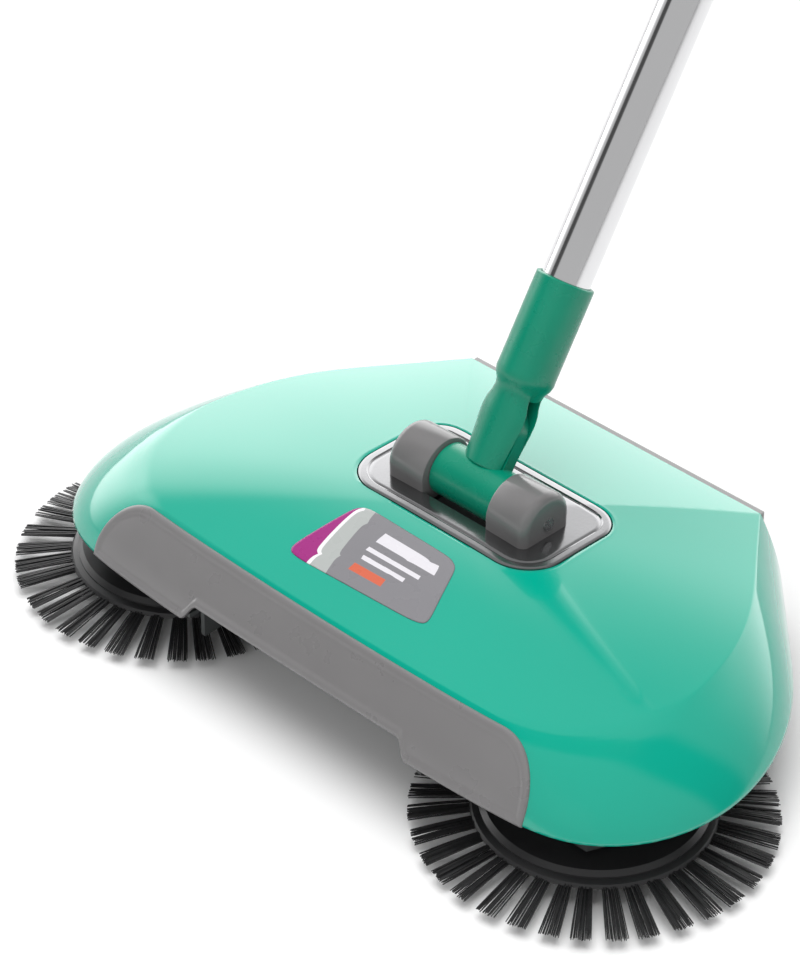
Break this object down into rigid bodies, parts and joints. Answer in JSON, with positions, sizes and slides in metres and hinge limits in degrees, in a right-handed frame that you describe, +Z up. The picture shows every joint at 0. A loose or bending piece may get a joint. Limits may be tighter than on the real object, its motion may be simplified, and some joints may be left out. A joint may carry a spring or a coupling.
{
  "type": "carpet sweeper",
  "caption": "Hand-push floor sweeper: a low moulded head with side brushes, a geared roller brush, a slide-out dust tray and a hinged tube handle.",
  "frame": {"origin": "on the floor, under the middle of the sweeper's overall box with the handle leaning back at rest", "axes": "+X across the head, to the right when the sweeper is seen from the front, -Y forwards (the way it is pushed), +Z up"},
  "size_m": [0.4012, 0.711, 0.9674],
  "materials": {
    "shell_green": "moulded, high gloss",
    "grey_gloss": "moulded, glossy",
    "label_film": "printed film with plain bands",
    "base_grey": "moulded, fine texture",
    "tray_grey": "moulded, satin",
    "socket_green": "moulded, satin gloss",
    "tube_steel": "polished stainless steel",
    "collar_grey": "moulded",
    "grip_grey": "ribbed, soft",
    "hub_black": "moulded, satin",
    "bristle_black": "nylon filament",
    "gear_white": "moulded, natural",
    "wheel_grey": "moulded",
    "tyre_rubber": "ribbed tread",
    "steel": "drawn, zinc plated",
    "bush_brass": "sintered"
  },
  "bodies": {
    "head": {"top_shell": "shell_green", "base_plate": "base_grey", "front_fascia": "grey_gloss", "hinge_plate": "grey_gloss", "label_plate": "label_film", "hinge_pin": "steel", "hinge_screws": "steel", "case_screws": "steel", "caster_pins": "steel", "wheel_axle_left": "steel", "wheel_axle_right": "steel", "roller_bush_left": "bush_brass", "roller_bush_right": "bush_brass", "spindle_bush_left": "bush_brass", "spindle_bush_right": "bush_brass"},
    "dust_tray": {"dust_tray": "tray_grey"},
    "trunnion": {"trunnion": "socket_green"},
    "handle": {"handle_socket": "socket_green", "tilt_pin": "steel", "lower_tube": "tube_steel", "lower_coupler": "collar_grey", "middle_tube": "tube_steel", "upper_coupler": "collar_grey", "upper_tube": "tube_steel", "grip": "grip_grey", "end_cap": "collar_grey"},
    "roller": {"roller_shaft": "steel", "roller_core": "wheel_grey", "roller_bristles": "bristle_black", "roller_pinion_left": "gear_white", "roller_pinion_right": "gear_white"},
    "wheel_left": {"drive_wheel_left": "wheel_grey", "tyre_left": "tyre_rubber"},
    "drive_left": {"drive_shaft_left": "steel", "rear_pinion_left": "gear_white", "front_pinion_left": "gear_white"},
    "side_brush_left": {"brush_hub_left": "hub_black", "brush_tufts_left": "bristle_black", "crown_gear_left": "gear_white", "spindle_left": "steel", "brush_screw_left": "steel"},
    "caster_left": {"caster_wheel_left": "wheel_grey"},
    "wheel_right": {"drive_wheel_right": "wheel_grey", "tyre_right": "tyre_rubber"},
    "drive_right": {"drive_shaft_right": "steel", "rear_pinion_right": "gear_white", "front_pinion_right": "gear_white"},
    "side_brush_right": {"brush_hub_right": "hub_black", "brush_tufts_right": "bristle_black", "crown_gear_right": "gear_white", "spindle_right": "steel", "brush_screw_right": "steel"},
    "caster_right": {"caster_wheel_right": "wheel_grey"}
  },
  "joints": [
    {"name": "handle_lean", "type": "hinge", "parent": "head", "child": "trunnion", "pos_m": [0, -0.21851, 0.076], "axis": [-1, 0, 0], "range_deg": [-32.6, 42.4]},
    {"name": "handle_tilt", "type": "hinge", "parent": "trunnion", "child": "handle", "pos_m": [0, -0.20396, 0.09875], "axis": [0, 0.8425, -0.5388], "range_deg": [-45, 45]},
    {"name": "tray_slide", "type": "slide", "parent": "head", "child": "dust_tray", "axis": [0, 1, 0], "range_m": [0, 0.09]},
    {"name": "roller_spin", "type": "hinge", "parent": "head", "child": "roller", "pos_m": [0, -0.21424, 0.022], "axis": [1, 0, 0], "continuous": true},
    {"name": "wheel_spin_left", "type": "hinge", "parent": "head", "child": "wheel_left", "pos_m": [-0.11, -0.18451, 0.026], "axis": [1, 0, 0], "continuous": true},
    {"name": "drive_spin_left", "type": "hinge", "parent": "head", "child": "drive_left", "pos_m": [-0.1236, -0.20576, 0.026], "axis": [0, 1, 0], "continuous": true},
    {"name": "brush_spin_left", "type": "hinge", "parent": "head", "child": "side_brush_left", "pos_m": [-0.1236, -0.27851, 0.009], "axis": [0, 0, 1], "continuous": true},
    {"name": "caster_spin_left", "type": "hinge", "parent": "head", "child": "caster_left", "pos_m": [-0.0924, -0.13951, 0.007], "axis": [1, 0, 0], "continuous": true},
    {"name": "wheel_spin_right", "type": "hinge", "parent": "head", "child": "wheel_right", "pos_m": [0.11, -0.18451, 0.026], "axis": [1, 0, 0], "continuous": true},
    {"name": "drive_spin_right", "type": "hinge", "parent": "head", "child": "drive_right", "pos_m": [0.1236, -0.20576, 0.026], "axis": [0, 1, 0], "continuous": true},
    {"name": "brush_spin_right", "type": "hinge", "parent": "head", "child": "side_brush_right", "pos_m": [0.1236, -0.27851, 0.009], "axis": [0, 0, 1], "continuous": true},
    {"name": "caster_spin_right", "type": "hinge", "parent": "head", "child": "caster_right", "pos_m": [0.0924, -0.13951, 0.007], "axis": [1, 0, 0], "continuous": true}
  ],
  "couplings": [
    {"joint": "wheel_spin_left", "follows": "roller_spin", "ratio": -0.6},
    {"joint": "drive_spin_left", "follows": "roller_spin", "ratio": -2.04},
    {"joint": "brush_spin_left", "follows": "roller_spin", "ratio": -0.78462},
    {"joint": "wheel_spin_right", "follows": "roller_spin", "ratio": -0.6},
    {"joint": "drive_spin_right", "follows": "roller_spin", "ratio": 2.04},
    {"joint": "brush_spin_right", "follows": "roller_spin", "ratio": 0.78462}
  ]
}
